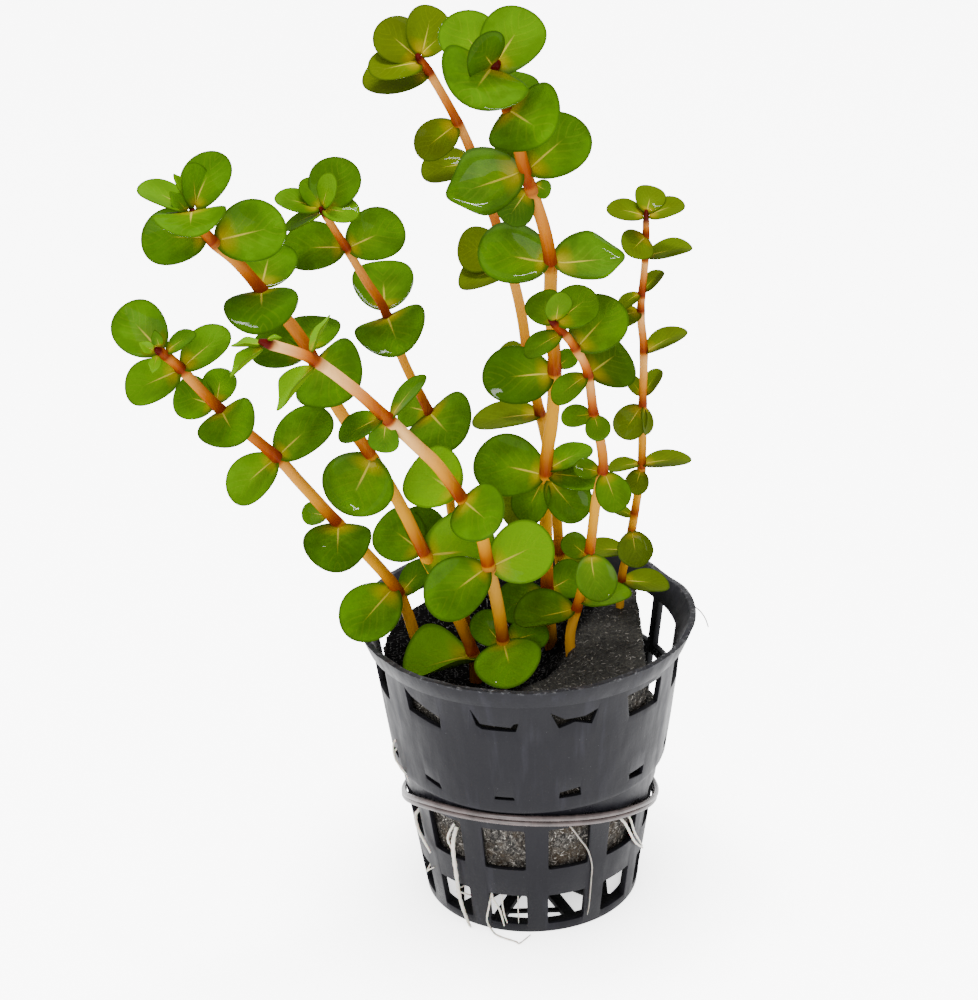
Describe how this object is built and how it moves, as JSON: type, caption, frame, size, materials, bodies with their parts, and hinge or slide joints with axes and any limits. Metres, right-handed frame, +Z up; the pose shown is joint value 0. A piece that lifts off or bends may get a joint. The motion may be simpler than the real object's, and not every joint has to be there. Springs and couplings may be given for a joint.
{
  "type": "potted dwarf rotala",
  "caption": "Round-leaved aquarium stem plant in a rock wool plug, held in a black net pot with a rubber band around it and roots growing out of its windows.",
  "frame": {"origin": "middle of the pot's underside", "axes": "+Z up along the pot's axis, -Y the front that the picture shows, +X to the right seen from the front"},
  "size_m": [0.0873, 0.0652, 0.1538],
  "materials": {
    "pot": "satin black moulded plastic",
    "rock_wool": "wet dark grey mineral wool",
    "rubber_band": "glossy brownish grey",
    "green_leaf": "wet green leaf",
    "olive_leaf": "wet olive leaf",
    "root": "smooth white root"
  },
  "bodies": {
    "root": {"pot": "pot", "rock_wool": "rock_wool", "rubber_band": "rubber_band", "shoot_far_left": "green_leaf", "shoot_upper_left": "green_leaf", "shoot_middle_left": "green_leaf", "shoot_front": "green_leaf", "shoot_tall_behind": "olive_leaf", "shoot_tallest": "green_leaf", "shoot_middle_right": "green_leaf", "shoot_right": "olive_leaf", "root_front_left": "root", "root_right": "root", "root_far_left": "root"}
  },
  "joints": []
}
